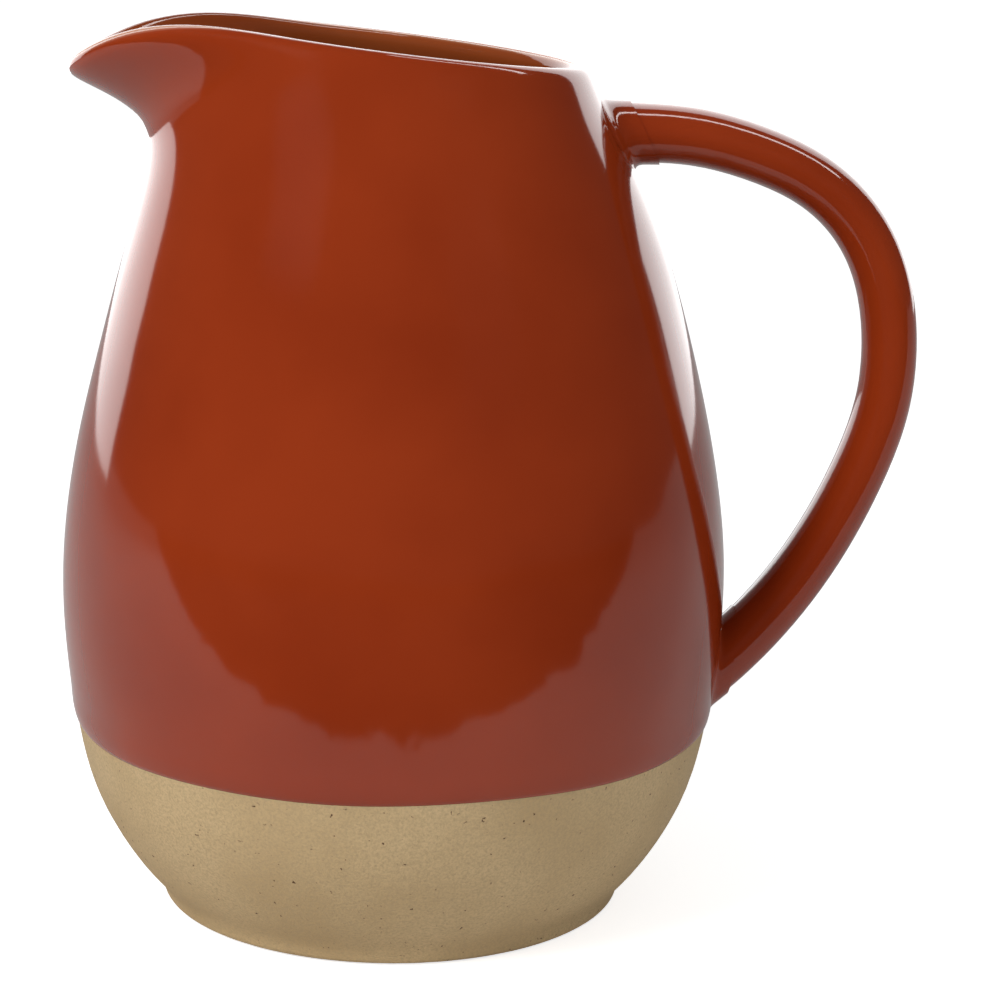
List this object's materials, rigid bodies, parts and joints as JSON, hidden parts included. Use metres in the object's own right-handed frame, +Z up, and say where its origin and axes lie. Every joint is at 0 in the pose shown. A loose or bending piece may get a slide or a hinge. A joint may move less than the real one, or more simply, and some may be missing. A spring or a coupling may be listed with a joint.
{
  "type": "ceramic pitcher",
  "caption": "Egg-shaped stoneware pitcher with a pulled spout, a looped side handle, a glazed upper body and a bare clay foot.",
  "frame": {"origin": "middle of the flat resting face of the foot, on the body's axis", "axes": "+Z up along the body's axis, +X towards the handle, -X towards the spout"},
  "size_m": [0.2108, 0.1648, 0.2178],
  "materials": {
    "bare_stoneware": "unglazed sandy stoneware, fine grained, with small iron specks",
    "slip": "unglazed luting slip of the same clay",
    "outside_glaze": "glossy brick-red glaze",
    "inside_glaze": "glossy amber-brown glaze, paler where it thins at the rim"
  },
  "bodies": {
    "root": {"stoneware_body": "bare_stoneware", "pulled_handle": "bare_stoneware", "upper_slip_joint": "slip", "lower_slip_joint": "slip", "outside_glaze": "outside_glaze", "inside_glaze": "inside_glaze", "handle_glaze": "outside_glaze"}
  },
  "joints": []
}
